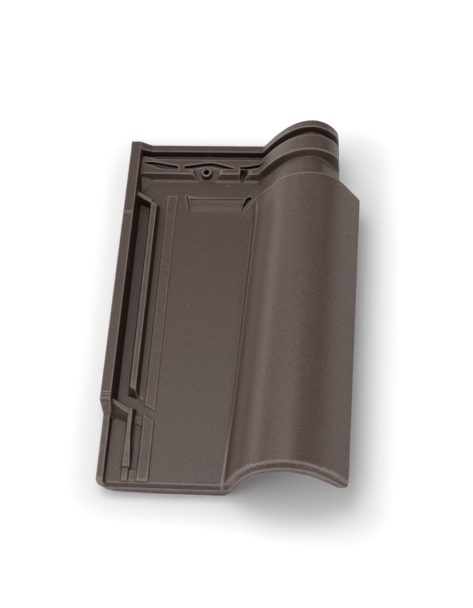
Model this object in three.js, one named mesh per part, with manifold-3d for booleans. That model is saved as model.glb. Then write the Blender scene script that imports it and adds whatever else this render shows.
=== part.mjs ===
// Interlocking clay roof tile: a flat pan with one high roll, pressed and fired as one piece.
// Millimetres. X runs across the tile from the side lock to the roll, Y up the slope from the
// foot to the head, Z up. Heights are measured from the face of the pan. The finished tile is
// set down on its foot lip and its nib, centred over the origin.
import * as THREE from 'three';
import { mergeVertices } from 'three/addons/utils/BufferGeometryUtils.js';
import { ConvexGeometry } from 'three/addons/geometries/ConvexGeometry.js';
import Module from 'manifold-3d';

const wasm = await Module();
wasm.setup();

// ---- driving dimensions ------------------------------------------------------------
// whole tile
const panWidth = 140.8;           // outer face of the side rim to the foot of the roll
const rollWidth = 134.2;          // foot of the roll to its free edge
const tileLength = 434.5;
const panThickness = 12;
const rollThickness = 10.5;

// roll, at the foot end
const rollHeight = 69;
const crestFromFoot = 72;
const flapTop = 20;               // top of the roll's free edge
const flapUnder = 14.5;           // underside of the roll's free edge

// roll, at its head end: narrower, and a little lower
const rollTaper = 8;
const rollHeadHeight = 67.5;
const flareRun = 30;              // the foot of the roll spreads over the last stretch
const flareWidth = 10.8;

// tongue: the lower end of the roll that slides under the tile above
const tongueStepIn = 9.2;         // at the head
const tongueFootTaper = 9;        // its foot runs in by this much from shoulder to head
const tongueStepDown = 13.3;
const tongueStepOut = 27.3;       // its free edge lies this far inside the roll's at the head
const tongueEdgeTaper = 3.8;
const tongueCrestShift = 2;
const tongueFlapTop = 18;
const tongueUnder = 8;

// shoulder between the roll and the tongue
const shoulderFromHead = 75;
const shoulderRun = 4.5;
const shoulderToeBack = 10;       // the shoulder leans back towards the foot at the pan,
const shoulderToeHeight = 14;     // up to this height
const shoulderFlankBack = 4;      // and less on the flank,
const shoulderFlankHeight = 56;   // up to this height
const shoulderEdgeBack = 8;       // and again at the free edge
const shoulderWall = 10;          // clay between the shoulder and the step on its underside

// foot edge
const footLedgeDrop = 5.3;        // the bevel ends on a narrow ledge this far down
const footLedgeWidth = 1.3;
const footEdgeRound = 0.5;
const footBevelRun = 2.8;         // on the pan
const footBevelGrowth = 0.4;      // share by which the bevel is longer at the crest
const footFaceBack = 1.1;         // the foot face leans in towards the bottom of the lip
const footArchBack = 0.3;         // and a little under the roll
const lipDepth = 22;              // face of the pan to the bottom of the foot lip
const lipWidth = 11;
const lipSlope = 4;               // run of the slope behind the lip
const lipRollThickness = 16.5;    // at the crest
const lipEdgeInset = 9;           // from the free edge of the roll
const lipSideDepth = 16;          // the lip is shallower under the side lock,
const lipSideWidth = 66;          // and reaches its full depth here

// moulding
const draft = Math.tan(THREE.MathUtils.degToRad(15));
const edgeBreak = 0.4;            // small flat on the edges of ribs

// side lock: rim, channel and rib
const rimWidth = 11.8;
const rimHeight = 15;
const channelWidth = 19.4;
const channelDepth = 2;
const ribWidth = 6.3;
const ribHeight = 10;
const ribToeRun = 6.5;            // slope at the foot end of the long rib
const lockSlant = 0.61;           // the cross ribs fall this much along Y for each mm of X
const crossRibWidth = 5.4;        // along Y
// places of slanted lines, where they meet the rim
const channelFoot = 100;
const ribFoot = 125;
const landFoot = 118;
const lowLandHead = 106.5;
const stripHead = 92;
const channelHeadFromHead = 71;

// foot end of the side lock
const lowRimHead = 80;
const rimRampHead = 95;
const lowRimInset = 4.6;
const lowRimWidth = 7.4;
const lowRimHeight = 8;
const lowRimFootHeight = 6.5;
const rampSpread = 5.3;           // foot of the ramp's inner side
const lowRibFoot = 21.5;
const lowRibNeck = 60;            // it is narrow from here to the cross rib,
const lowRibInset = 1.2;
const lowRibWidth = 4;
const lowRibFootWidth = 8;        // and widens towards the foot
const lowRibHeight = 9;
const lowRibFootHeight = 5;
const backWallRun = 14;           // slope under the cross rib, at the rim
const backWallRunAtRib = 10;
const blockWidth = 6.4;
const blockHeight = 3;
const lockFoot = 6.4;             // foot end of the lock's ribs
const stripLeft = 39.5;
const stripFoot = 19.5;
const stripDepth = 1.2;
const plateHeight = 0.8;          // low plate between the foot end of the strip and the foot
const cornerRun = 17.5;           // cut corner at the foot of the rim, across
const cornerBack = 4;             // and along the tile
const cornerLift = 12;            // the underside is raised below the cut corner
const cornerLiftWidth = 22;
const flapCorner = 6;             // rounded corner at the foot of the roll's free edge

// raised lands between the rib and the pan
const landGap = 10.6;
const landWidth = 11.6;
const landRise = 1.2;
const landFootRise = 2.2;
const landHeadFromHead = 67;

// sighting notches across the rim
const notchWidth = 1.3;
const notchDepth = 0.8;
const headNotchFromHead = 98.5;
const footNotch = 99;
const footNotchGap = 3.9;

// head lock: rim, groove and rib, which run on over the tongue
const headRise = 8;
const headRimWidth = 9;
const headGrooveWidth = 11;
const headRibWidth = 20;
const headRibRun = 5;             // slope on the foot side of the rib
const headWallRun = 2.8;          // slopes of the groove
const lineDepth = 5.5;            // sunk lines along the rib
const lineReach = 6;              // the last one runs up the flank of the tongue
const ribLedge = 1.5;             // narrow ledge at the foot of the rib
const ribLedgeHeight = 0.7;
const cornerRise = 1;             // the corner of the two rims is a little higher
const cornerLength = 12;
const cornerRamp = 12.2;
const gussetRun = 18;             // slope in the corner of the rib and the side rim
const gussetRise = 5.6;

const breakFromTongue = 25.3;     // break through the foot side of the rib
const breakWidth = 11.3;
const breakFloor = 3.5;
const breakReach = 7;

// nail hole
const nailHole = 5;
const countersink = 8;
const countersinkDepth = 3;
const nailBoss = 12.2;            // top of the boss, level with the rib
const nailBossFoot = 14;
const nailX = 92.6;
const nailFromRib = 2.4;
const bayHalfWidth = 16.5;
const bayFloorHalfWidth = 9.3;
const bayBack = 7;                // how far the bay reaches into the rib

// hollow in the pan and the nib below it
const hollowWidth = 62.8;
const hollowLength = 18.6;
const hollowFromHead = 69.5;
const hollowDepth = 2.6;
const slotWidth = 1.6;            // narrow slot at its low side,
const slotSlant = 4.5;
const slotReach = 3;
const pitWidth = 5;               // and a deep slot under the shoulder
const pitSlant = 8;
const pitReach = 3.4;
const nibFromHead = 84.5;         // head face to the face that hooks over the batten
const nibThickness = 16;
const nibOverhang = 7.5;          // the nib is this much wider than the hollow, each side
const nibSpread = 3;

// facets
const rollSteps = 22;             // in each half of the roll
const lineSteps = 12;
const roundSteps = 36;

// ---- places that follow ---------------------------------------------------------------
const tileWidth = panWidth + rollWidth;
const ribLeft = rimWidth + channelWidth;
const ribRight = ribLeft + ribWidth;
const lowRibRight = ribLeft + lowRibInset + lowRibWidth;
const landLeft = ribRight + landGap;
const landRight = landLeft + landWidth;
const shoulderY = tileLength - shoulderFromHead;
const rimInner = tileLength - headRimWidth;
const ribOuter = rimInner - headGrooveWidth;
const ribInner = ribOuter - headRibWidth;
const ribToe = ribInner - headRibRun;
const channelHead = tileLength - channelHeadFromHead;
const nailY = ribInner + nailFromRib;
const tongueFoot = panWidth + rollTaper + tongueStepIn;

// ---- cross-sections ---------------------------------------------------------------------
const footSection = {
  base: 0, foot: panWidth, footPull: 6, footRise: 0,
  crest: panWidth + crestFromFoot, height: rollHeight, crestPullIn: 54, crestPullOut: 29,
  edge: tileWidth, edgeHeight: flapTop, edgePullIn: 22, edgePullUp: 28.5,
};
const headSection = {
  ...footSection, foot: panWidth + rollTaper, footPull: 8,
  crest: panWidth + rollTaper + crestFromFoot, height: rollHeadHeight,
  crestPullIn: 50, crestPullOut: 25, edgePullIn: 18.2, edgePullUp: 26,
};
const flareSection = { ...headSection, foot: headSection.foot - flareWidth, footPull: 14 };
// underside of the foot lip
const lipSection = {
  base: -lipDepth, foot: panWidth, footPull: 20, footRise: 22,
  crest: footSection.crest - 1, height: rollHeight - lipRollThickness,
  crestPullIn: 46.5, crestPullOut: 30,
  edge: tileWidth - lipEdgeInset, edgeHeight: flapUnder, edgePullIn: 11, edgePullUp: 4,
};

// The tongue narrows towards the head: back is 0 at the head and 1 at the shoulder.
const backFromHead = (y) => (tileLength - y) / shoulderFromHead;
function tongueAt(y) {
  const back = backFromHead(y);
  return {
    base: 0, foot: tongueFoot - tongueFootTaper * back, footPull: 11, footRise: 0,
    crest: headSection.crest - tongueCrestShift, height: rollHeadHeight - tongueStepDown,
    crestPullIn: 26 + 12 * back, crestPullOut: 13,
    edge: tileWidth - tongueStepOut + tongueEdgeTaper * back, edgeHeight: tongueFlapTop,
    edgePullIn: 7, edgePullUp: 16,
  };
}
// the same with the ribs of the head lock on it
function ribbedAt(y) {
  const tongue = tongueAt(y);
  const back = backFromHead(y);
  return {
    ...tongue, base: headRise, footPull: 3.4, height: tongue.height + headRise,
    crestPullIn: 31 + 13.5 * back, crestPullOut: 15,
    edgeHeight: 32.3 + 10 * back, edgePullIn: 1.5, edgePullUp: 13,
  };
}

const mix = (a, b, t) => a + (b - a) * t;
const sectionAt = (y) => Object.fromEntries(
  Object.keys(footSection).map((k) => [k, mix(footSection[k], headSection[k], y / shoulderY)]));

// Points along the roll of a section, moved out square to its face.
function rollLine(s, outward = 0) {
  const v = (x, z) => new THREE.Vector2(x, z);
  const left = new THREE.CubicBezierCurve(
    v(s.foot, s.base), v(s.foot + s.footPull, s.base + s.footRise),
    v(s.crest - s.crestPullIn, s.height), v(s.crest, s.height));
  const right = new THREE.CubicBezierCurve(
    v(s.crest, s.height), v(s.crest + s.crestPullOut, s.height),
    v(s.edge - s.edgePullIn, s.edgeHeight + s.edgePullUp), v(s.edge, s.edgeHeight));
  const points = [];
  for (let i = 0; i <= 2 * rollSteps; i++) {
    const curve = i < rollSteps ? left : right;
    const t = (i < rollSteps ? i : i - rollSteps) / rollSteps;
    const p = curve.getPoint(t);
    const along = curve.getTangent(t);
    points.push([p.x - along.y * outward, p.y + along.x * outward]);
  }
  return points;
}

// Face of the sheet from the side rim to the free edge of the roll, sunk by drop.
function faceLine(s, drop = 0) {
  const flat = [0, landRight].map((x) => [x, s.base - drop]);
  const roll = rollLine(s, -drop).map(([x, z]) => [Math.min(x, s.edge), z]);
  return [...flat, ...roll];
}

// Underside of the sheet, from the free edge of the roll back to the side rim. It changes
// from the pan's thickness to the roll's at the foot of the roll.
function underLine(s, edgeX = s.edge, edgeZ = flapUnder) {
  const under = rollLine(s, -rollThickness).map(([x, z], i) => {
    const onFlank = THREE.MathUtils.clamp((x - s.foot) / panThickness, 0, 1);
    const low = z - (panThickness - rollThickness) * (1 - onFlank);
    return [x, Math.max(low, i < rollSteps ? -panThickness : edgeZ)];
  });
  return [[edgeX, edgeZ], ...under.reverse(), [lipSideWidth, -panThickness], [0, -panThickness]];
}

// Underside of the foot lip.
function lipLine() {
  const side = [[lipSideWidth, -lipDepth], [0, -lipSideDepth]];
  return [[tileWidth, flapUnder], ...rollLine(lipSection).reverse(), ...side];
}

// A closed ring of the sheet. Each point of its face, and the edge below it, may lean along Y.
function ring(y, face, yUnder, under, lean = () => 0) {
  const leaning = ([x, z]) => [x, y + lean(x, z), z];
  const [edge, ...rest] = under;
  return [...face.map(leaning), [edge[0], yUnder + lean(...edge), edge[1]],
    ...rest.map(([x, z]) => [x, yUnder, z])];
}
const straight = (y, face, under) => ring(y, face, y, under);

// How the shoulder leans back: at the pan, on the flank, and at the free edge.
function shoulderLean(x, z) {
  if (x > headSection.crest) {
    return -shoulderEdgeBack * Math.max(x - tongueAt(shoulderY).edge, 0) / tongueStepOut;
  }
  const toe = THREE.MathUtils.clamp(1 - z / shoulderToeHeight, 0, 1);
  const flank = THREE.MathUtils.smoothstep(shoulderFlankHeight - z, 0, shoulderToeHeight);
  return -shoulderToeBack * toe * toe - shoulderFlankBack * flank;
}

// The foot: a face that leans in, a rounded edge, a narrow ledge, and a bevel up to the face.
function footRings() {
  const setBack = (z) => footArchBack + footFaceBack * THREE.MathUtils.clamp(-z / lipDepth, 0, 1);
  const bevelFoot = footEdgeRound + footLedgeWidth;
  const bevelHead = (z) => bevelFoot + footBevelRun * (1 + footBevelGrowth * z / rollHeight);
  const place = (line, yAt) => line.map(([x, z]) => [x, yAt(z), z]);
  const lip = lipLine();
  const edge = (y, drop) => [
    ...place(faceLine(sectionAt(0), drop), () => y), ...place(lip, (z) => setBack(z) + y)];
  return [
    edge(0, footLedgeDrop + footEdgeRound),
    edge(footEdgeRound, footLedgeDrop),
    edge(bevelFoot, footLedgeDrop),
    [...place(faceLine(sectionAt(bevelFoot)), bevelHead), ...place(lip, () => lipWidth)],
  ];
}

function bodyRings() {
  const behindLip = lipWidth + lipSlope;
  const flareY = shoulderY - flareRun;
  const stepY = shoulderY - shoulderWall;
  const underTongue = underLine(tongueAt(stepY), tileWidth);
  return [
    straight(behindLip, faceLine(sectionAt(behindLip)), underLine(sectionAt(behindLip))),
    ring(flareY, faceLine(headSection), stepY - shoulderRun, underLine(headSection)),
    ring(shoulderY, faceLine(flareSection), stepY, underTongue, shoulderLean),
  ];
}

// Tongue and head lock: the groove, between the rib and the rim.
function headRings() {
  const under = (y) => underLine(tongueAt(y), tongueAt(y).edge, tongueUnder);
  const low = (y) => straight(y, faceLine(tongueAt(y)), under(y));
  const high = (y) => straight(y, faceLine(ribbedAt(y)), under(y));
  return [
    low(shoulderY + shoulderRun), low(ribToe), high(ribInner), high(ribOuter),
    low(ribOuter + headWallRun), low(rimInner - headWallRun), high(rimInner), high(tileLength),
  ];
}

// ---- solids --------------------------------------------------------------------------------
function solid(geometry) {
  const bare = geometry.clone();
  bare.deleteAttribute('normal');
  bare.deleteAttribute('uv');
  const merged = mergeVertices(bare, 1e-4);
  return new wasm.Manifold(new wasm.Mesh({
    numProp: 3,
    vertProperties: new Float32Array(merged.attributes.position.array),
    triVerts: new Uint32Array(merged.index.array),
  }));
}

// Skin the rings and close both ends.
function loft(rings) {
  const n = rings[0].length;
  const index = [];
  for (let k = 0; k + 1 < rings.length; k++) {
    for (let i = 0; i < n; i++) {
      const [a, b] = [k * n + i, k * n + (i + 1) % n];
      index.push(a, b + n, a + n, a, b, b + n);
    }
  }
  for (const k of [0, rings.length - 1]) {
    const outline = rings[k].map(([x, , z]) => new THREE.Vector2(x, z));
    for (const corner of THREE.ShapeUtils.triangulateShape(outline, [])) {
      const facing = k === 0 ? corner : corner.toReversed();
      index.push(...facing.map((i) => k * n + i));
    }
  }
  const skin = new THREE.BufferGeometry();
  skin.setAttribute('position', new THREE.Float32BufferAttribute(rings.flat(2), 3));
  skin.setIndex(index);
  return solid(skin);
}

const hull = (points) => solid(new ConvexGeometry(points.map((p) => new THREE.Vector3(...p))));
const at = (outline, z) => outline.map(([x, y], i) => [x, y, Array.isArray(z) ? z[i] : z]);

// Straight up and down between two heights.
function prism(outline, low, high) {
  const shape = new THREE.Shape(outline.map((p) => new THREE.Vector2(...p)));
  const body = new THREE.ExtrudeGeometry(shape, { depth: high - low, bevelEnabled: false });
  body.translate(0, 0, low);
  return solid(body);
}

function cone(x, y, topDiameter, bottomDiameter, low, high) {
  const body = new THREE.CylinderGeometry(topDiameter / 2, bottomDiameter / 2, high - low, roundSteps);
  body.rotateX(Math.PI / 2);
  body.translate(x, y, (low + high) / 2);
  return solid(body);
}

const box = (x0, y0, x1, y1) => [[x0, y0], [x1, y0], [x1, y1], [x0, y1]];

// Move every side of a convex counter-clockwise outline out by d.
function grow(outline, d) {
  return outline.map((p, i) => {
    const before = outline.at(i - 1);
    const after = outline[(i + 1) % outline.length];
    const u = new THREE.Vector2(p[0] - before[0], p[1] - before[1]).normalize();
    const v = new THREE.Vector2(after[0] - p[0], after[1] - p[1]).normalize();
    const out = new THREE.Vector2(u.y + v.y, -u.x - v.x).multiplyScalar(d / (1 + u.dot(v)));
    return [p[0] + out.x, p[1] + out.y];
  });
}

// A raised pad: its outline at the top, drafted walls down into the sheet. top is one
// height, or one for each corner.
const sunk = 1;                   // how deep pads reach into the clay they stand on
function pad(outline, top, base = -channelDepth, slope = draft) {
  const tops = outline.map((_, i) => (Array.isArray(top) ? top[i] : top));
  return hull([
    ...at(grow(outline, -edgeBreak), tops),
    ...at(grow(outline, edgeBreak * slope), tops.map((z) => z - edgeBreak)),
    ...at(grow(outline, (Math.min(...tops) - base + sunk) * slope), base - sunk),
  ]);
}

// A sunk pocket: its outline at the face that it opens in, drafted walls down to its floor.
const clear = 1;                  // how far cuts reach above the face they open in
function pocket(outline, face, floor, slope = draft) {
  return hull([
    ...at(grow(outline, slope * clear), face + clear),
    ...at(grow(outline, -(face - floor) * slope), floor),
  ]);
}

// ---- side lock -------------------------------------------------------------------------------
// Y of a slanted line at x, for a line that meets the rim at y.
const slanted = (y, x) => y - lockSlant * (x - rimWidth);

function channel() {
  const left = rimWidth + channelDepth * draft;
  return pocket([
    [left, slanted(channelFoot, left)], [ribLeft, slanted(channelFoot, ribLeft)],
    [ribLeft, slanted(channelHead, ribLeft)], [left, slanted(channelHead, left)],
  ], 0, -channelDepth);
}

// Where the channel drains onto the pan, below the foot end of the rib.
function outlet() {
  const start = ribLeft - channelDepth;
  const end = landRight + channelDepth;
  const foot = channelFoot - channelDepth;
  return hull([
    ...at([[start, slanted(foot, start)], [end, slanted(lowLandHead, end)],
      [end, slanted(landFoot, end)], [start, slanted(ribFoot, start)]], clear),
    ...at([[start, slanted(foot, start)], [ribRight, slanted(channelFoot, ribRight)],
      [ribRight, slanted(landFoot, ribRight)], [start, slanted(ribFoot, start)]], -channelDepth),
  ]);
}

function sideRim() {
  return pad(box(0, rimRampHead, rimWidth, tileLength), rimHeight);
}

function rimRamp() {
  const lowInner = lowRimInset + lowRimWidth;
  return hull([
    ...at(box(0, rimRampHead, rimWidth, rimRampHead + sunk), rimHeight - edgeBreak),
    ...at(box(0, rimRampHead, rimWidth + rimHeight * draft, rimRampHead + sunk), -channelDepth),
    ...at([[lowRimInset, lowRimHead], [lowInner, lowRimHead]], lowRimHeight),
    ...at([[lowRimInset, lowRimHead], [lowInner + rampSpread, lowRimHead - backWallRun / 4]], -sunk),
  ]);
}

function lowRim() {
  const outline = box(lowRimInset, 0, lowRimInset + lowRimWidth, lowRimHead + sunk);
  return pad(outline, [lowRimFootHeight, lowRimFootHeight, lowRimHeight, lowRimHeight], 0);
}

function longRib() {
  const end = (x) => slanted(ribFoot, x);
  const head = (x) => slanted(channelHead, x) + crossRibWidth / 2;
  const body = pad([[ribLeft, end(ribLeft)], [ribRight, end(ribRight)],
    [ribRight, head(ribRight)], [ribLeft, head(ribLeft)]], ribHeight);
  const drop = (ribHeight + channelDepth) * draft;
  const toe = hull([
    ...at([[ribLeft, end(ribLeft)], [ribRight, end(ribRight)]], ribHeight - edgeBreak),
    ...at([[ribLeft - drop, end(ribLeft)], [ribRight + drop, end(ribRight)],
      [ribRight + drop / 2, end(ribRight) - ribToeRun], [ribLeft - drop, end(ribLeft) - ribToeRun],
    ], -channelDepth),
  ]);
  return body.add(toe);
}

// A cross rib lies between two slanted lines, from the rim to x.
function crossRib(lowLine, x, top) {
  const left = rimWidth - sunk;
  return pad([
    [left, slanted(lowLine, left)], [x, slanted(lowLine, x)],
    [x, slanted(lowLine + crossRibWidth, x)], [left, slanted(lowLine + crossRibWidth, left)],
  ], top);
}

// Slope from the lower cross rib down to the floor at the foot end.
function backWall() {
  const low = channelFoot - crossRibWidth;
  const [left, right] = [rimWidth - sunk, ribLeft + sunk];
  const crest = [[left, slanted(low, left) + sunk], [right, slanted(low, right) + sunk]];
  return hull([
    ...at(crest, lowRibHeight - edgeBreak),
    ...at([...crest, [right, slanted(low, right) - backWallRunAtRib],
      [left, slanted(low, left) - backWallRun]], -edgeBreak),
  ]);
}

// Narrow below the cross rib, then wider and lower towards the foot.
function lowRib() {
  const head = slanted(channelFoot, ribLeft);
  const left = ribLeft + lowRibInset;
  const atNeck = (lowRibNeck - lowRibFoot) / (head - lowRibFoot);
  const neckHeight = mix(lowRibFootHeight, lowRibHeight, atNeck);
  const upper = box(left, lowRibNeck - sunk, lowRibRight, head);
  const lower = [[ribLeft, lowRibFoot], [ribLeft + lowRibFootWidth, lowRibFoot],
    [lowRibRight, lowRibNeck], [left, lowRibNeck]];
  return pad(upper, [neckHeight, neckHeight, lowRibHeight, lowRibHeight], 0)
    .add(pad(lower, [lowRibFootHeight, lowRibFootHeight, neckHeight, neckHeight], 0));
}

function footBlock() {
  return pad(box(ribLeft, lockFoot, ribLeft + blockWidth, lowRibFoot + sunk), blockHeight, 0);
}

// ---- lands -----------------------------------------------------------------------------------
const landDraft = 0.5;

function upperLand() {
  const head = tileLength - landHeadFromHead;
  return pad([[landLeft, slanted(landFoot, landLeft)], [landRight, slanted(landFoot, landRight)],
    [landRight, head], [landLeft, head - sunk]], landRise, 0, landDraft);
}

function lowerLand() {
  const outline = [[landLeft, lockFoot], [landRight, lockFoot],
    [landRight, slanted(lowLandHead, landRight)], [landLeft, slanted(lowLandHead, landLeft)]];
  return pad(outline, [landFootRise, landFootRise, landRise, landRise], 0, landDraft);
}

// Shallow strip between the low rib and the lower land.
function strip() {
  const right = landLeft - landRise * landDraft;
  return pocket([[stripLeft, stripFoot], [right, stripFoot], [right, slanted(stripHead, right)],
    [stripLeft, slanted(stripHead, stripLeft)]], 0, -stripDepth, landDraft);
}

function footPlate() {
  return pad(box(stripLeft, lockFoot, landLeft, stripFoot), plateHeight, 0, landDraft);
}

// ---- cuts at the foot of the side lock ------------------------------------------------------------
const beyond = 5;                 // how far outer cuts reach past the tile

function rimInset() {
  return prism([[-beyond, -beyond], [lowRimInset, -beyond], [lowRimInset, lowRimHead],
    [0, rimRampHead], [-beyond, rimRampHead]], -lipDepth - beyond, rimHeight + beyond);
}

function cutCorner() {
  return prism([[-beyond, -beyond], [cornerRun, -beyond], [cornerRun, 0],
    [lowRimInset, cornerBack], [-beyond, cornerBack]], -lipDepth - beyond, rimHeight + beyond);
}

// Rounds the foot end of the roll's free edge.
function roundFlapCorner() {
  const centre = [tileWidth - flapCorner, flapCorner];
  const arc = Array.from({ length: lineSteps + 1 }, (_, i) => {
    const turn = (Math.PI / 2) * (i / lineSteps);
    return [centre[0] + flapCorner * Math.sin(turn), centre[1] - flapCorner * Math.cos(turn)];
  });
  const outside = [[tileWidth + beyond, flapCorner], [tileWidth + beyond, -beyond], [centre[0], -beyond]];
  return prism([...arc, ...outside], -beyond, 2 * rollHeight);
}

// The underside rises towards the cut corner.
function cornerHollow() {
  const lipAt = (x) => -mix(lipSideDepth, lipDepth, x / lipSideWidth);
  const rise = (x) => lipAt(x) + cornerLift * (1 - x / cornerLiftWidth);
  return hull([
    ...at(box(-beyond, -beyond, cornerLiftWidth, lowRimHead), -lipDepth - beyond),
    ...at([[-beyond, -beyond], [-beyond, lowRimHead]], rise(-beyond)),
    ...at([[cornerLiftWidth, -beyond], [cornerLiftWidth, lowRimHead]], rise(cornerLiftWidth)),
  ]);
}

function rimNotch(y) {
  const spread = notchWidth / 2;
  return hull([
    ...at(box(-beyond, y - spread, rimWidth + spread, y + spread), rimHeight + clear),
    ...at([[-beyond, y], [rimWidth, y]], rimHeight - notchDepth),
  ]);
}

// ---- head lock ---------------------------------------------------------------------------------
// Raised corner where the two rims meet, with a ramp down along the head rim.
function rimCorner() {
  const ramp = rimWidth + cornerRamp;
  return hull([
    ...at([[0, tileLength], [rimWidth, tileLength]], rimHeight + cornerRise),
    ...at([[0, tileLength - cornerLength], [rimWidth, rimInner]], rimHeight),
    ...at([[ramp, rimInner], [ramp, tileLength]], headRise),
    ...at([[0, tileLength - cornerLength], [rimWidth, rimInner - headWallRun],
      [ramp, rimInner], [ramp, tileLength], [0, tileLength]], -sunk),
  ]);
}

// The rib widens where it meets the side rim, and the floor climbs to it in the corner.
function ribRoot() {
  const run = 2 * cornerRamp;
  return pad([[rimWidth - sunk, ribOuter - sunk], [rimWidth + run, ribOuter - sunk],
    [rimWidth + run / 3, ribOuter + headWallRun], [rimWidth - sunk, ribOuter + 2 * headWallRun]],
  headRise, 0, draft);
}

function cornerGusset() {
  const [right, foot] = [rimWidth + gussetRun, ribToe - gussetRun];
  return hull([
    ...at([[0, ribInner], [rimWidth, ribInner]], gussetRise),
    ...at([[0, foot], [rimWidth, foot], [right, ribToe], [0, ribInner]], 0),
    ...at([[right, ribInner], [0, ribInner], [0, foot]], -sunk),
  ]);
}

// A sunk line in the rib. Its stations are [x, y, width], joined by a smooth curve.
function sunkLine(stations) {
  const curve = new THREE.CatmullRomCurve3(stations.map((s) => new THREE.Vector3(...s)));
  const points = curve.getPoints(lineSteps);
  const side = (sign) => points.map((p) => [p.x, p.y + sign * p.z / 2]);
  return prism([...side(-1), ...side(1).reverse()], headRise - lineDepth, headRise + lineReach);
}

function ribLines() {
  const [left, right, y] = [rimWidth, tongueFoot, ribInner];
  return [
    sunkLine([[left + 4.5, y + 15, 1.7], [left + 14, y + 13.9, 4.3], [left + 24, y + 11.2, 7.4],
      [left + 36, y + 9.5, 6], [left + 46, y + 8.6, 4.4]]),
    sunkLine([[nailX - 27, y + 8.8, 3.7], [nailX - 13, y + 10, 5.6], [nailX - 4, y + 12.2, 5],
      [nailX + 7, y + 12.4, 5.4], [nailX + 18, y + 9.8, 5.2], [nailX + 34, y + 7.6, 0.6]]),
    sunkLine([[right - 26, y + 8.7, 2.4], [right - 14, y + 9.2, 4.4], [right - 4, y + 11.4, 4],
      [right + 2.5, y + 12.8, 3.2], [right + 5.5, y + 13.4, 3]]),
  ];
}

// Ledge along the foot of the rib, on both sides of the nail bay.
function toeLedges() {
  const [foot, head] = [ribToe - ribLedge, ribToe + sunk];
  const ledge = (left, right) => pad(box(left, foot, right, head), ribLedgeHeight, 0, landDraft);
  return ledge(rimWidth + gussetRun, nailX - bayFloorHalfWidth)
    .add(ledge(nailX + bayFloorHalfWidth, tongueFoot));
}

// Bay in the rib round the nail boss. Its floor slopes up to the top of the rib.
function nailBay() {
  const foot = ribToe - ribLedge - clear;
  const [back, side] = [ribInner + bayBack, bayHalfWidth - clear];
  const top = [[nailX - bayHalfWidth, back], [nailX - side, foot],
    [nailX + side, foot], [nailX + bayHalfWidth, back]];
  const floor = box(nailX - bayFloorHalfWidth, foot, nailX + bayFloorHalfWidth, ribToe);
  return hull([...at(top, headRise), ...at(top, headRise + clear), ...at(floor, 0)]);
}

const boss = () => cone(nailX, nailY, nailBoss, nailBossFoot, -sunk, headRise);
const bore = () => cone(nailX, nailY, nailHole, nailHole, -panThickness - clear, headRise + clear)
  .add(cone(nailX, nailY, countersink, nailHole, headRise - countersinkDepth, headRise))
  .add(cone(nailX, nailY, countersink, countersink, headRise, headRise + clear));

// Slanted break through the foot side of the rib, beside the roll: one steep wall and one slope.
function ribBreak() {
  const left = tongueFoot - breakFromTongue;
  const [foot, head] = [ribToe - ribLedge - clear, ribInner + breakReach];
  const floor = left + edgeBreak;
  return hull([
    ...at(box(left, foot, left + breakWidth, head), headRise + clear),
    ...at(box(floor, foot, floor + breakFloor, head - breakFloor), 0),
  ]);
}

// ---- hollow above the nib ------------------------------------------------------------------------
const hollowRight = flareSection.foot;
const hollowLeft = hollowRight - hollowWidth;
const hollowHead = tileLength - hollowFromHead;
const hollowFoot = hollowHead - hollowLength;

// A scoop: steep at its head, and a curve up to the pan at its foot.
function hollow() {
  const curve = new THREE.CubicBezierCurve(
    new THREE.Vector2(hollowHead - clear, -hollowDepth * 0.7),
    new THREE.Vector2(hollowHead - hollowLength / 3, -hollowDepth * 1.3),
    new THREE.Vector2(hollowFoot + hollowLength / 3, -hollowDepth * 1.1),
    new THREE.Vector2(hollowFoot, 0));
  const profile = [[hollowHead + clear, clear], [hollowHead, 0],
    ...curve.getPoints(lineSteps).map((p) => [p.x, p.y]), [hollowFoot - 2 * clear, clear]];
  return hull([hollowLeft, hollowRight].flatMap((x) => profile.map(([y, z]) => [x, y, z])));
}

// Narrow slots at its two ends: a thin one in the pan, and a deep one under the shoulder.
function endSlots() {
  const thin = [[hollowLeft, hollowFoot], [hollowLeft + slotWidth, hollowFoot],
    [hollowLeft - slotSlant + slotWidth / 2, hollowHead + slotReach],
    [hollowLeft - slotSlant - slotWidth / 2, hollowHead + slotReach]];
  const deep = [[hollowRight - pitWidth / 2, hollowFoot + clear], [hollowRight + 2 * pitWidth, hollowHead],
    [hollowRight + pitSlant, hollowHead + pitReach], [hollowRight + pitSlant - pitWidth, hollowHead]];
  return [prism(thin, -hollowDepth * 0.7, clear), prism(deep, -hollowDepth * 2, headRise)];
}

// ---- nib --------------------------------------------------------------------------------------------
function nib() {
  const y = tileLength - nibFromHead;
  const [left, right] = [hollowLeft - nibOverhang, hollowRight + nibOverhang];
  return hull([
    ...at(box(left, y, right, y + nibThickness), -lipDepth),
    ...at(box(left - nibSpread, y, right + nibSpread, y + nibThickness + nibSpread), sunk - panThickness),
  ]);
}

// ---- the tile -----------------------------------------------------------------------------------------
function tileBox() {
  const body = new THREE.BoxGeometry(tileWidth, tileLength, 4 * rollHeight);
  body.translate(tileWidth / 2, tileLength / 2, 0);
  return solid(body);
}

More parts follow.
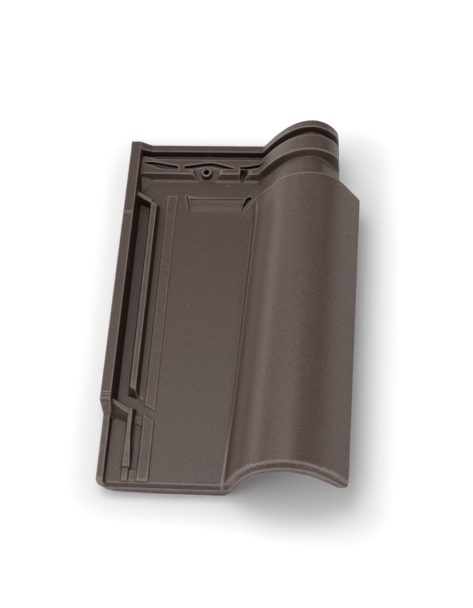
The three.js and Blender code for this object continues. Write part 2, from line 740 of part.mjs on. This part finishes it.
function pressedTile() {
  const sheet = loft([...footRings(), ...bodyRings(), ...headRings()]);
  const raised = [
    sideRim(), rimRamp(), lowRim(), longRib(),
    crossRib(channelHead, ribLeft, ribHeight),
    crossRib(channelFoot - crossRibWidth, lowRibRight, lowRibHeight),
    backWall(), lowRib(), footBlock(), footPlate(), upperLand(), lowerLand(),
    rimCorner(), ribRoot(), cornerGusset(), toeLedges(), nib(),
  ];
  const sunken = [
    strip(), rimInset(), cutCorner(), cornerHollow(), roundFlapCorner(),
    rimNotch(tileLength - headNotchFromHead), rimNotch(footNotch), rimNotch(footNotch + footNotchGap),
    ...ribLines(), nailBay(), ribBreak(), hollow(), ...endSlots(),
  ];
  const locked = raised.reduce((a, b) => a.add(b), sheet.subtract(channel()).subtract(outlet()));
  const cut = sunken.reduce((a, b) => a.subtract(b), locked.intersect(tileBox()));
  return cut.add(boss()).subtract(bore());
}

const { vertProperties, triVerts } = pressedTile().getMesh();
const geometry = new THREE.BufferGeometry();
geometry.setAttribute('position', new THREE.BufferAttribute(new Float32Array(vertProperties), 3));
geometry.setIndex(new THREE.BufferAttribute(new Uint32Array(triVerts), 1));
geometry.computeVertexNormals();

const clay = new THREE.MeshStandardMaterial({ color: 0x5d504d, roughness: 0.62, metalness: 0 });
const tile = new THREE.Mesh(geometry, clay);
tile.name = 'roof_tile';
tile.position.set(-tileWidth / 2, -tileLength / 2, lipDepth);

const group = new THREE.Group();
group.name = 'clay_roof_tile';
group.add(tile);
export default group;
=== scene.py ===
"""A clay roof tile on a white floor: the pressed tile with its edges rounded by the engobe,
a satin dark brown coat, and soft light from all sides. All lengths are in metres."""
import math

import bmesh
import bpy
import numpy as np
from mathutils import Matrix, Vector, kdtree

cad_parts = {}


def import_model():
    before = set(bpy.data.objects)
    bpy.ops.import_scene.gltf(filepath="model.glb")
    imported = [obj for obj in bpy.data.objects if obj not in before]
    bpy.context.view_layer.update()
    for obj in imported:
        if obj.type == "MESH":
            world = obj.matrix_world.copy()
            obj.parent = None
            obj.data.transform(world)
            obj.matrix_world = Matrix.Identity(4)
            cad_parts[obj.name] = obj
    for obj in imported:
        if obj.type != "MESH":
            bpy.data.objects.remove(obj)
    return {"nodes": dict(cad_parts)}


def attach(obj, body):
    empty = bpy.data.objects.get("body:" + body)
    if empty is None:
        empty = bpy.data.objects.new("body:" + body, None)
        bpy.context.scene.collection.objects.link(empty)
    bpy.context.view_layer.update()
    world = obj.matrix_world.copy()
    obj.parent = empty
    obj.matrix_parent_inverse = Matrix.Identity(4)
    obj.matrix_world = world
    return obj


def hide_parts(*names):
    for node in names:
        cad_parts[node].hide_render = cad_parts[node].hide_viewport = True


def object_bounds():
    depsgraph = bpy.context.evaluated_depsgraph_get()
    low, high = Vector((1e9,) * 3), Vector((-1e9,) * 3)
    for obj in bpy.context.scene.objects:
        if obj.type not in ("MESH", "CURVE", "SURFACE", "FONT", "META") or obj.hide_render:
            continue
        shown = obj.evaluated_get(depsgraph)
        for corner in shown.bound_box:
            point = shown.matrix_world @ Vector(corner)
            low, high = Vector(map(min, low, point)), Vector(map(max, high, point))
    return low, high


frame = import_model()
cad_low, cad_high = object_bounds()
collection = bpy.context.scene.collection


# ---- meshes as arrays --------------------------------------------------------------------
UPWARD = 0.2                    # a face looks up where its normal's Z is above this


def evaluated_mesh(obj):
    graph = bpy.context.evaluated_depsgraph_get()
    return bpy.data.meshes.new_from_object(obj.evaluated_get(graph), depsgraph=graph)


def floats(mesh, kind):
    """Places ("co") or normals ("normals") of all vertices, one row each."""
    rows = np.empty(len(mesh.vertices) * 3, np.float32)
    if kind == "normals":
        mesh.vertex_normals.foreach_get("vector", rows)
    else:
        mesh.vertices.foreach_get(kind, rows)
    return rows.reshape(-1, 3).astype(np.float64)


def place(mesh, points):
    mesh.vertices.foreach_set("co", points.astype(np.float32).ravel())
    mesh.update()


def links(mesh):
    """The pairs of vertices that share an edge."""
    pairs = np.empty(len(mesh.edges) * 2, np.int32)
    mesh.edges.foreach_get("vertices", pairs)
    return pairs.reshape(-1, 2).T


def step(low, high, x):
    """0 below low, 1 above high, and a smooth rise between."""
    t = np.clip((x - low) / (high - low), 0, 1)
    return t * t * (3 - 2 * t)


def hump(x, middle, width):
    """1 in the middle, and a soft fall to 0 on both sides."""
    return np.exp(-((x - middle) / width) ** 2)


def smoothed(points, pairs, reach, spacing, free=1.0):
    """Blur the surface over a distance; a vertex moves only as far as it is free."""
    a, b = pairs
    count = np.bincount(a, minlength=len(points)) + np.bincount(b, minlength=len(points))
    for _ in range(max(1, round((2 * reach / spacing) ** 2))):
        middle = np.stack([
            np.bincount(a, points[b, k], len(points)) + np.bincount(b, points[a, k], len(points))
            for k in range(3)], axis=1)
        points = points + 0.5 * free * (middle / count[:, None] - points)
    return points


# ---- sighting notches across the side rim --------------------------------------------------
NOTCHES = (0.099, 0.1029, 0.336)    # along the tile, from its foot
RIM_WIDTH = 0.0118
RIM_UPWARD = 0.5                # only the rim's top is pressed
NOTCH_DEPTH = 0.0004
NOTCH_WIDTH = 0.0005
LIP_HEIGHT = 0.0003             # a fine lip on both sides of each notch
LIP_AWAY = 0.0011
LIP_WIDTH = 0.00045


def sighting_notches(mesh):
    """Sharpen the notches in the rim's top: a groove between two fine pressed lips."""
    points = floats(mesh, "co")
    top = (floats(mesh, "normals")[:, 2] > RIM_UPWARD) & (points[:, 0] < cad_low.x + RIM_WIDTH)
    for notch in NOTCHES:
        away = np.abs(points[:, 1] - cad_low.y - notch)
        lips = LIP_HEIGHT * hump(away, LIP_AWAY, LIP_WIDTH)
        groove = NOTCH_DEPTH * hump(away, 0, NOTCH_WIDTH)
        points[:, 2] += np.where(top, lips - groove, 0)
    place(mesh, points)


# ---- hollow above the nib: its low side reaches out to the narrow slot ----------------------
PAN_TOP = 0.022                 # height of the pan's face
PAN_LEVEL = 0.001               # flat faces this close to it belong to it
FLAT = 0.99                     # a face lies flat where its normal's Z is above this
HOLLOW_LEFT, HOLLOW_RIGHT = 0.0752, 0.138   # across the tile, from its left edge
HOLLOW_FOOT, HOLLOW_HEAD = 0.3464, 0.365    # along the tile, from its foot
HOLLOW_OVERLAP = 0.002          # the new low side runs on into the hollow by this much
HOLLOW_FLOOR = 0.006            # all of the hollow is less deep than this
HOLLOW_CURVE = ((0.365, 0.0018), (0.3588, 0.0034), (0.3526, 0.0029), (0.3464, 0.0))    # along, depth
CURVE_POINTS = 40
SLOT_FOOT, SLOT_HEAD = 0.076, 0.0714        # the slot's right side, across the tile
SIDE_FADE = 0.001               # the painted sheen fades out over this width at both sides
SOFT_RIM = 0.002                # no wear and no painted light of the edges this close to the hollow's rounded foot
SHEEN_AT = 0.0055              # the painted sheen is strongest this far above the hollow's foot
SHEEN_WIDTH = 0.006
SHEEN_SHARE = 0.85             # and it ends at this share of the hollow's length


def hollow_side(mesh):
    """Press the hollow's low side. Returns where the hollow's lower slope gets a painted sheen, and
    where its rim is soft.
    """
    points = floats(mesh, "co")
    flat = points[:, 2][floats(mesh, "normals")[:, 2] > FLAT]
    pan = np.median(flat[np.abs(flat - PAN_TOP) < PAN_LEVEL])
    across, along = points[:, 0] - cad_low.x, points[:, 1] - cad_low.y
    share = (along - HOLLOW_FOOT) / (HOLLOW_HEAD - HOLLOW_FOOT)
    slot = SLOT_FOOT + share * (SLOT_HEAD - SLOT_FOOT)
    t = np.linspace(0, 1, CURVE_POINTS)[:, None]
    curve = sum(c * t ** i * (1 - t) ** (3 - i) * np.array(p)
                for i, (c, p) in enumerate(zip((1, 3, 3, 1), HOLLOW_CURVE)))
    depth = np.interp(along, curve[::-1, 0], curve[::-1, 1])
    between = (across > slot) & (across < HOLLOW_LEFT + HOLLOW_OVERLAP) & (share > 0) & (share < 1)
    between &= points[:, 2] > pan - HOLLOW_FLOOR
    points[between, 2] = np.minimum(points[between, 2], pan - depth[between])
    place(mesh, points)

    right = 1 - step(HOLLOW_RIGHT - SIDE_FADE, HOLLOW_RIGHT, across)
    inside = step(slot, slot + SIDE_FADE, across) * right
    soft = inside * (np.abs(along - HOLLOW_FOOT) < SOFT_RIM)
    combed = inside * (share < SHEEN_SHARE) * hump(along, HOLLOW_FOOT + SHEEN_AT, SHEEN_WIDTH)
    return combed * (points[:, 2] > pan - HOLLOW_FLOOR), soft > 0


# ---- narrow step along the foot of the roll -------------------------------------------------
TOE_START = 0.003               # across from the tile's middle, at its foot
TOE_LEAN = 0.0415               # it moves across by this much for each metre along the tile
TOE_HEIGHT = 0.0012
TOE_WIDTH = 0.0026
TOE_SPREAD = 0.005              # wider by this much at the tile's foot
TOE_SPREAD_RUN = 0.1
TOE_FALL = 0.015                # the flank of the roll has swallowed it this far across
TOE_END = 0.356                 # along the tile, from its foot
TOE_FADE = 0.012                # it dies out over this length
TOE_HIGHLIGHT = 0.55                 # it carries a painted highlight this strong
TOE_LINE = 0.0017               # along a line this wide
TOE_FLANK = 0.013               # and the flank beside it a little
TOE_FLANK_HIGHLIGHT = 0.32
TOE_NEAR = 0.01                # no painted corner shade this close to it


def toe_of_roll(mesh):
    """Raise the narrow step that runs along the foot of the roll, wider towards the tile's foot.
    Returns where it gets a painted highlight, and what lies close to it."""
    points = floats(mesh, "co")
    up = floats(mesh, "normals")[:, 2] > UPWARD
    along = points[:, 1] - cad_low.y
    across = points[:, 0] - (TOE_START + TOE_LEAN * along)
    width = TOE_WIDTH + TOE_SPREAD * (1 - step(0, TOE_SPREAD_RUN, along))
    rise = step(-width / 2, width / 2, across) * (1 - step(0, TOE_FALL, across))
    runs = 1 - step(TOE_END - TOE_FADE, TOE_END, along)
    points[:, 2] += np.where(up, rise * TOE_HEIGHT * runs, 0)
    place(mesh, points)
    line = hump(across, TOE_LINE - (width - TOE_WIDTH) / 2, TOE_LINE)
    flank = TOE_FLANK_HIGHLIGHT * hump(across, TOE_FLANK, TOE_NEAR)
    near = (across > -TOE_NEAR) & (across < TOE_FLANK + 2 * TOE_NEAR) & up
    return np.maximum(line, flank) * runs * up, near


# ---- the fired tile -------------------------------------------------------------------------
VOXEL = 0.00055
ROUNDING = 0.0004               # radius that the slip gives the edges
EDGE_REACH = 0.0011             # how far the wear, the painted highlight and the painted corner shade of an edge reach
EDGE_DEPTH = 0.0004             # an edge this much proud of its surroundings is fully worn and carries a full painted highlight
GENTLE = 0.12                   # surfaces less sharp than this are free of edges
EVENING = 0.0015                # and are evened out over this distance
FOOT_EDGES = 0.0075             # the edges this close to the tile's foot get a stronger painted highlight
FOOT_HIGHLIGHT = 0.9
FOOT_HIGHLIGHT_FROM, FOOT_HIGHLIGHT_FULL = 0.08, 0.3  # where their own wear and painted light is in this range or above
TRIANGLES = 120_000             # after thinning; dividing the flats again adds about 70,000
LONGEST = 0.006                 # longer edges are divided where their triangles are large,
LARGE = 0.0000075               # which is in square metres, and at the tile's foot
DIVISIONS = 8


def edge_wear(mesh, pairs, spacing):
    """1 on sharp outer edges, 0 on flats, -1 in sharp inner corners."""
    points = floats(mesh, "co")
    sunk = smoothed(points, pairs, EDGE_REACH, spacing)
    proud = ((points - sunk) * floats(mesh, "normals")).sum(axis=1)
    return np.clip(proud / EDGE_DEPTH, -1, 1)


def voxel_skin(spacing):
    """The CAD shape as one dense skin."""
    pressed = bpy.data.objects.new("pressed", frame["nodes"]["roof_tile"].data.copy())
    collection.objects.link(pressed)
    remesh = pressed.modifiers.new("skin", "REMESH")
    remesh.mode = "VOXEL"
    remesh.voxel_size = spacing
    dense = evaluated_mesh(pressed)
    bpy.data.objects.remove(pressed)
    return dense


def divided(mesh, foot):
    """Split the long edges of large triangles, and all long ones that start below the line of the
    foot, so that the shading, the wear and the painted light at the rim of a flat stay there."""
    work = bmesh.new()
    work.from_mesh(mesh)
    for _ in range(DIVISIONS):
        long = [edge for edge in work.edges if edge.calc_length() > LONGEST
                and (min(vertex.co.y for vertex in edge.verts) < foot
                     or max(face.calc_area() for face in edge.link_faces) > LARGE)]
        if not long:
            break
        bmesh.ops.subdivide_edges(work, edges=long, cuts=1)
        bmesh.ops.triangulate(work, faces=[face for face in work.faces if len(face.verts) > 3])
    work.to_mesh(mesh)
    work.free()
    mesh.validate()


def carry_over(mesh, points, **layers):
    """Give each vertex the values of the nearest point, in a layer of the same name."""
    tree = kdtree.KDTree(len(points))
    for i, point in enumerate(points):
        tree.insert(point, i)
    tree.balance()
    nearest = [tree.find(vertex.co)[1] for vertex in mesh.vertices]
    for name, values in layers.items():
        attribute = mesh.attributes.new(name, "FLOAT", "POINT")
        attribute.data.foreach_set("value", values[nearest].astype(np.float32))


def fired_tile():
    """The pressed tile as one skin, with the rounded edges that slip and glaze leave."""
    spacing = VOXEL
    dense = voxel_skin(spacing)
    pairs = links(dense)
    place(dense, smoothed(floats(dense, "co"), pairs, ROUNDING, spacing))
    free = 1 - step(GENTLE / 2, GENTLE, np.abs(edge_wear(dense, pairs, spacing)))
    place(dense, smoothed(floats(dense, "co"), pairs, EVENING, spacing, free[:, None]))
    sighting_notches(dense)
    combed, soft = hollow_side(dense)
    toe_highlight, near_toe = toe_of_roll(dense)

    foot = cad_low.y + FOOT_EDGES
    points = floats(dense, "co")
    # positive on outer edges, which are worn and get a painted highlight; negative in inner corners,
    # which get painted shade
    wear = edge_wear(dense, pairs, spacing)
    # painted highlight along the toe, in place of any painted corner shade there
    wear = np.where(near_toe, np.maximum(wear, TOE_HIGHLIGHT * toe_highlight), wear)
    # no wear and no painted light on the hollow's rounded foot
    wear = np.where(soft, 0, wear)
    at_foot = points[:, 1] < foot
    # a stronger painted highlight on the edges at the foot
    wear = np.maximum(wear, FOOT_HIGHLIGHT * step(FOOT_HIGHLIGHT_FROM, FOOT_HIGHLIGHT_FULL, wear) * at_foot)

    tile = bpy.data.objects.new("clay_tile", dense)
    collection.objects.link(tile)
    triangles = sum(len(face.vertices) - 2 for face in dense.polygons)
    if triangles > TRIANGLES:
        thin = tile.modifiers.new("thin", "DECIMATE")
        thin.ratio = TRIANGLES / triangles
        tile.data = evaluated_mesh(tile)
        tile.modifiers.clear()
    divided(tile.data, foot)
    tile.data.materials.clear()
    tile.data.shade_smooth()
    carry_over(tile.data, points, wear=wear, combed=combed)
    return tile


# ---- materials ---------------------------------------------------------------------------
MIX_A, MIX_B, MIX_RESULT = 6, 7, 2      # the colour sockets of a mix node


class Nodes:
    """Short names for building a node tree."""

    def __init__(self, name):
        self.material = bpy.data.materials.new(name)
        self.material.use_nodes = True
        self.tree = self.material.node_tree
        self.tree.nodes.clear()

    def add(self, kind, **settings):
        node = self.tree.nodes.new(kind)
        for key, value in settings.items():
            setattr(node, key, value)
        return node

    def link(self, a, b):
        self.tree.links.new(a, b)

    def put(self, socket, value):
        if isinstance(value, bpy.types.NodeSocket):
            self.link(value, socket)
        else:
            socket.default_value = value

    def noise(self, where, scale, detail, rough=0.55):
        n = self.add("ShaderNodeTexNoise")
        self.link(where, n.inputs["Vector"])
        n.inputs["Scale"].default_value = scale
        n.inputs["Detail"].default_value = detail
        n.inputs["Roughness"].default_value = rough
        return n.outputs["Fac"]

    def ramp(self, fac, *stops):
        r = self.add("ShaderNodeValToRGB")
        self.link(fac, r.inputs["Fac"])
        band = r.color_ramp.elements
        while len(band) < len(stops):
            band.new(0.5)
        for element, (place, colour) in zip(band, stops):
            element.position = place
            element.color = (*colour, 1.0) if isinstance(colour, tuple) else (colour,) * 3 + (1.0,)
        return r.outputs["Color"]

    def mix(self, fac, a, b, mode="MIX"):
        m = self.add("ShaderNodeMix", data_type="RGBA", blend_type=mode)
        self.put(m.inputs["Factor"], fac)
        self.put(m.inputs[MIX_A], a if not isinstance(a, tuple) else (*a, 1.0))
        self.put(m.inputs[MIX_B], b if not isinstance(b, tuple) else (*b, 1.0))
        return m.outputs[MIX_RESULT]

    def maths(self, how, *values):
        m = self.add("ShaderNodeMath", operation=how)
        for socket, value in zip(m.inputs, values):
            self.put(socket, value)
        return m.outputs[0]

    def layer(self, name):
        """The values that the mesh carries under a name."""
        return self.add("ShaderNodeAttribute", attribute_name=name).outputs["Fac"]

    def axis(self, vector, name):
        parts = self.add("ShaderNodeSeparateXYZ")
        self.link(vector, parts.inputs[0])
        return parts.outputs[name]

    def occlusion_shade(self, reach, *stops):
        """A painted shade by how much of the surroundings, within reach, is the tile itself."""
        around_it = self.add("ShaderNodeAmbientOcclusion", only_local=True, samples=12)
        around_it.inputs["Distance"].default_value = reach
        return self.ramp(around_it.outputs["AO"], *stops)


BROWN, RED_BROWN = (0.082, 0.048, 0.033), (0.079, 0.046, 0.039)
CLOUDS = (0.087, 0.053, 0.041)
PALE_SPECKLES = (0.140, 0.104, 0.088)
DARK_SPECKLES = (0.042, 0.026, 0.019)
# lighter slip on worn edges, also used for the painted highlights on edges and the painted sheen in
# the hollow
WEAR_AND_HIGHLIGHT = (0.250, 0.200, 0.180)
CORNER_SHADE = (0.026, 0.016, 0.012)
SHEEN_STREAKS = 0.0026                   # the painted sheen on the hollow lies in streaks this far apart
HOLLOW_SHEEN_STRENGTH = 0.3
# painted shade in grooves up to about this wide
GROOVE_SHADE_REACH = 0.014
GROOVE_PAINTED_SHADES = ((0.05, (0.03, 0.015, 0.01)), (0.35, (0.16, 0.11, 0.09)),
                 (0.6, (0.45, 0.38, 0.33)), (0.78, (0.82, 0.78, 0.75)), (0.9, 1.0))
# and painted shade on the walls of recesses up to about this wide; a wall is where the normal's Z is
# small
RECESS_SHADE_REACH = 0.04
RECESS_PAINTED_SHADES = ((0.5, (0.30, 0.24, 0.20)), (0.8, (0.34, 0.28, 0.24)), (0.95, 1.0))
WALL = ((0.35, 1.0), (0.65, 0.0))
ROUGHNESS = ((0.3, 0.39), (0.7, 0.47))
GRAIN_STRENGTH, GRAIN_HEIGHT = 0.35, 0.0004


def wear_and_highlight_share(n, where, fine):
    """How much lighter the slip is made: on the edges from wear and a painted highlight, and on the
    hollow's lower slope from a painted sheen in streaks.
    """
    patchy = n.ramp(fine, (0.3, 0.55), (0.6, 1.0))
    edges = n.maths("MULTIPLY", n.ramp(n.layer("wear"), (0.08, 0.0), (0.5, 0.95)), patchy)
    # painted sheen in streaks on the hollow's lower slope
    waves = n.maths("SINE", n.maths("MULTIPLY", n.axis(where, "X"), 2 * math.pi / SHEEN_STREAKS))
    combed = n.maths("MULTIPLY", n.layer("combed"), n.maths("MULTIPLY_ADD", waves, 0.35, 0.65))
    return n.maths("MAXIMUM", edges, n.maths("MULTIPLY", combed, HOLLOW_SHEEN_STRENGTH))


def engobe():
    """Satin dark brown slip: clouded, finely speckled, lighter on the edges from wear and a painted
    highlight, with painted shade in its corners, its grooves and on the walls of its recesses.
    """
    n = Nodes("dark brown engobe")
    where = n.add("ShaderNodeTexCoord").outputs["Object"]
    broad = n.noise(where, 16.0, 2.0)
    cloud = n.noise(where, 110.0, 3.0, 0.6)
    grain = n.noise(where, 540.0, 2.0, 0.7)
    fine = n.noise(where, 1500.0, 2.0, 0.6)

    base = n.ramp(broad, (0.35, BROWN), (0.65, RED_BROWN))
    clouded = n.mix(n.ramp(cloud, (0.35, 0.0), (0.65, 0.6)), base, CLOUDS)
    pale = n.mix(n.ramp(grain, (0.52, 0.0), (0.72, 0.75)), clouded, PALE_SPECKLES)
    speckled = n.mix(n.ramp(grain, (0.30, 0.75), (0.46, 0.0)), pale, DARK_SPECKLES)
    # edges lighter from wear and a painted highlight, and a painted sheen in the hollow
    edged = n.mix(wear_and_highlight_share(n, where, fine), speckled, WEAR_AND_HIGHLIGHT)
    # painted shade in the sharp inner corners
    corner = n.ramp(n.maths("MULTIPLY", n.layer("wear"), -1.0), (0.08, 0.0), (0.9, 0.8))
    corner_shaded = n.mix(corner, edged, CORNER_SHADE)

    # painted shade in grooves, by how much of the tile lies close around
    groove_shade = n.occlusion_shade(GROOVE_SHADE_REACH, *GROOVE_PAINTED_SHADES)
    recess_shade = n.occlusion_shade(RECESS_SHADE_REACH, *RECESS_PAINTED_SHADES)
    normal = n.add("ShaderNodeTexCoord").outputs["Normal"]
    wall = n.ramp(n.axis(normal, "Z"), *WALL)
    # the darker of the painted groove shade and the painted recess shade, the latter only on walls
    painted_shade = n.mix(wall, groove_shade, recess_shade, "DARKEN")
    colour = n.mix(1.0, corner_shaded, painted_shade, "MULTIPLY")

    shader = n.add("ShaderNodeBsdfPrincipled")
    n.link(colour, shader.inputs["Base Color"])
    n.link(n.ramp(cloud, *ROUGHNESS), shader.inputs["Roughness"])
    height = n.maths("ADD", n.maths("MULTIPLY", grain, 0.6), n.maths("MULTIPLY", fine, 0.4))
    bump = n.add("ShaderNodeBump")
    bump.inputs["Strength"].default_value = GRAIN_STRENGTH
    bump.inputs["Distance"].default_value = GRAIN_HEIGHT
    n.link(height, bump.inputs["Height"])
    n.link(bump.outputs["Normal"], shader.inputs["Normal"])
    out = n.add("ShaderNodeOutputMaterial")
    n.link(shader.outputs["BSDF"], out.inputs["Surface"])
    return n.material


FLOOR_HALF = 6.0
# how much painted glow the floor has of itself, by the distance outside the tile's rectangle: weak
# next to the tile, white far off
FLOOR_GLOW = ((0.0, 0.06), (0.02, 0.1), (0.055, 0.3), (0.8, 1.0))


def outside_tile(n):
    """How far a place on the floor lies outside the rectangle that the tile covers."""
    apart = n.add("ShaderNodeTexCoord").outputs["Object"]
    for how, by in (("ABSOLUTE", None), ("SUBTRACT", (*cad_high.xy, 0.0)), ("MAXIMUM", (0, 0, 0))):
        part = n.add("ShaderNodeVectorMath", operation=how)
        n.link(apart, part.inputs[0])
        if by:
            part.inputs[1].default_value = by
        apart = part.outputs[0]
    away = n.add("ShaderNodeVectorMath", operation="LENGTH")
    n.link(apart, away.inputs[0])
    return away.outputs["Value"]


def white_floor():
    """Seen by the camera and in gloss it is white far from the tile, from a painted glow that
    weakens towards the tile, with the object's shadow on it.
    """
    n = Nodes("white floor")
    rays = n.add("ShaderNodeLightPath").outputs
    seen = n.maths("MAXIMUM", rays["Is Camera Ray"],
                   n.maths("MAXIMUM", rays["Is Glossy Ray"], rays["Is Transmission Ray"]))
    plain = n.add("ShaderNodeBsdfDiffuse")
    plain.inputs["Color"].default_value = (0.8, 0.8, 0.8, 1)
    bright = n.add("ShaderNodeBsdfDiffuse")
    bright.inputs["Color"].default_value = (1, 1, 1, 1)
    glow = n.add("ShaderNodeEmission")
    n.link(n.ramp(outside_tile(n), *FLOOR_GLOW), glow.inputs["Color"])
    lit = n.add("ShaderNodeAddShader")
    n.link(bright.outputs[0], lit.inputs[0])
    n.link(glow.outputs[0], lit.inputs[1])
    both = n.add("ShaderNodeMixShader")
    n.link(seen, both.inputs[0])
    n.link(plain.outputs[0], both.inputs[1])
    n.link(lit.outputs[0], both.inputs[2])
    out = n.add("ShaderNodeOutputMaterial")
    n.link(both.outputs[0], out.inputs["Surface"])
    return n.material


def floor():
    mesh = bpy.data.meshes.new("floor")
    corners = [(x * FLOOR_HALF, y * FLOOR_HALF, 0) for x, y in ((-1, -1), (1, -1), (1, 1), (-1, 1))]
    mesh.from_pydata(corners, [], [(0, 1, 2, 3)])
    obj = bpy.data.objects.new("floor", mesh)
    mesh.materials.append(white_floor())
    collection.objects.link(obj)


# ---- light ---------------------------------------------------------------------------------
WORLD_FILL = 0.02
SQUARE, LARGE_SQUARE = (0.5, 0.5), (2.2, 2.2)
LOW_STRIP, LOW_LIFT = (3.0, 1.0), 8     # strips near the floor, this many degrees up


def around(azimuth, elevation, distance=4.0):
    """A place at a distance from the tile; azimuth 0 is its head, 90 its roll side."""
    a, e = math.radians(azimuth), math.radians(elevation)
    return distance * Vector((math.sin(a) * math.cos(e), math.cos(a) * math.cos(e), math.sin(e)))


# name, place, size and watts of each lamp
LAMPS = (
    ("over_foot_left", (-0.6, -0.75, 1.2), SQUARE, 2.0),
    ("over_head_left", (-0.6, 0.3, 1.2), SQUARE, 0.7),
    ("over_front", (0.1, -0.9, 1.2), SQUARE, 0.5),
    ("over_foot", (-0.25, -0.25, 1.2), (0.5, 0.8), 2.4),
    ("over_head", (-0.1, 0.2, 1.2), (0.6, 0.5), 3.6),
    ("left", around(270, 52), LARGE_SQUARE, 12),
    ("head_left", around(312, 40), (1.8, 1.8), 12),
    ("head_right", around(45, 50), LARGE_SQUARE, 13),
    ("head", around(342, 28), (4.4, 1.6), 30),
    ("roll_side", around(90, 27), (2.2, 1.6), 20),
    ("low_left_a", around(247, LOW_LIFT), LOW_STRIP, 30),
    ("low_left_b", around(292, LOW_LIFT), LOW_STRIP, 30),
    ("low_right_a", around(112, LOW_LIFT), LOW_STRIP, 36),
    ("low_right_b", around(157, LOW_LIFT), LOW_STRIP, 22),
)


def softbox(name, place, size, watts):
    """A soft lamp that faces the tile."""
    light = bpy.data.lights.new(name, "AREA")
    light.shape = "RECTANGLE"
    light.size, light.size_y = size
    light.energy = watts
    obj = bpy.data.objects.new(name, light)
    obj.location = place
    obj.rotation_euler = (-Vector(place)).to_track_quat("-Z", "Y").to_euler()
    collection.objects.link(obj)


def world(strength):
    """White where the camera sees it, and a faint fill light elsewhere."""
    studio = bpy.data.worlds.new("studio")
    bpy.context.scene.world = studio
    studio.use_nodes = True
    tree = studio.node_tree
    tree.nodes.clear()
    rays = tree.nodes.new("ShaderNodeLightPath").outputs
    both = tree.nodes.new("ShaderNodeMixShader")
    tree.links.new(rays["Is Camera Ray"], both.inputs[0])
    for socket, level in ((1, strength), (2, 1.0)):
        light = tree.nodes.new("ShaderNodeBackground")
        light.inputs["Color"].default_value = (1, 1, 1, 1)
        light.inputs["Strength"].default_value = level
        tree.links.new(light.outputs[0], both.inputs[socket])
    out = tree.nodes.new("ShaderNodeOutputWorld")
    tree.links.new(both.outputs[0], out.inputs[0])


# ---- camera: the photograph's view, found by fitting a camera to the tile's straight edges ----
CAMERA_AT = (0.19557, -0.80767, 1.52169)
CAMERA_RIGHT = (0.99345, 0.07140, -0.08914)
CAMERA_AHEAD = (-0.11244, 0.47437, -0.87311)
CAMERA_LENS, CAMERA_SENSOR = 89.97, 36.0    # millimetres
CAMERA_REACH = 50.0


def camera():
    right = Vector(CAMERA_RIGHT).normalized()
    ahead = Vector(CAMERA_AHEAD).normalized()
    up = right.cross(ahead).normalized()
    cam = bpy.data.cameras.new("camera")
    cam.lens = CAMERA_LENS
    cam.sensor_width = CAMERA_SENSOR
    cam.clip_end = CAMERA_REACH
    obj = bpy.data.objects.new("camera", cam)
    turn = Matrix((right, up, -ahead)).transposed().to_4x4()
    obj.matrix_world = Matrix.Translation(CAMERA_AT) @ turn
    collection.objects.link(obj)
    bpy.context.scene.camera = obj


# ---- scene ---------------------------------------------------------------------------------
tile = fired_tile()
tile.data.materials.append(engobe())
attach(tile, "root")
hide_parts("roof_tile")

floor()
world(WORLD_FILL)
for lamp in LAMPS:
    softbox(*lamp)
camera()
bpy.context.scene.view_settings.view_transform = "Standard"
